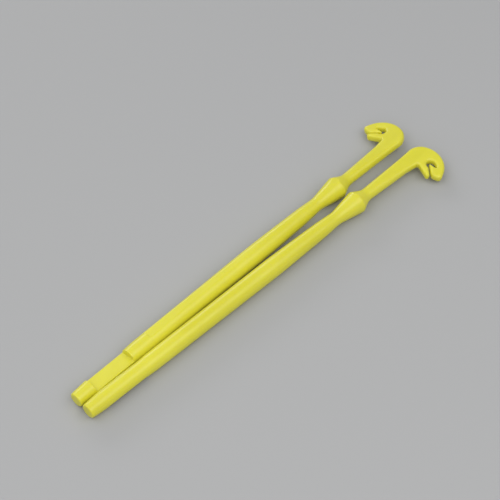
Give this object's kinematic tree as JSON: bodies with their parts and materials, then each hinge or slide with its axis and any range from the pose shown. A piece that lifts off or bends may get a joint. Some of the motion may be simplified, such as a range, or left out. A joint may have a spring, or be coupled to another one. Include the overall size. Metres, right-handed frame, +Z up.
{
  "type": "loop tyer set",
  "caption": "Slim moulded loop-tying tools lying side by side, each with a label recess, flared stop and flat hooked head with eye, barb and gate prong.",
  "frame": {"origin": "on the surface that the tools lie on, under the centre of the pair's bounding box", "axes": "+X from tail ends to hooked heads, +Y towards the left tool, the one whose label recess faces up, +Z up from the surface"},
  "size_m": [0.141, 0.0324, 0.0073],
  "materials": {
    "lemon_yellow_plastic": "satin gloss moulded lemon yellow"
  },
  "bodies": {
    "right_tool": {"right_loop_tyer": "lemon_yellow_plastic"},
    "left_tool": {"left_loop_tyer": "lemon_yellow_plastic"}
  },
  "joints": [
    {"name": "left_tool_lift", "type": "slide", "parent": "right_tool", "child": "left_tool", "axis": [0, 0, 1], "range_m": [0, 0.05]}
  ]
}
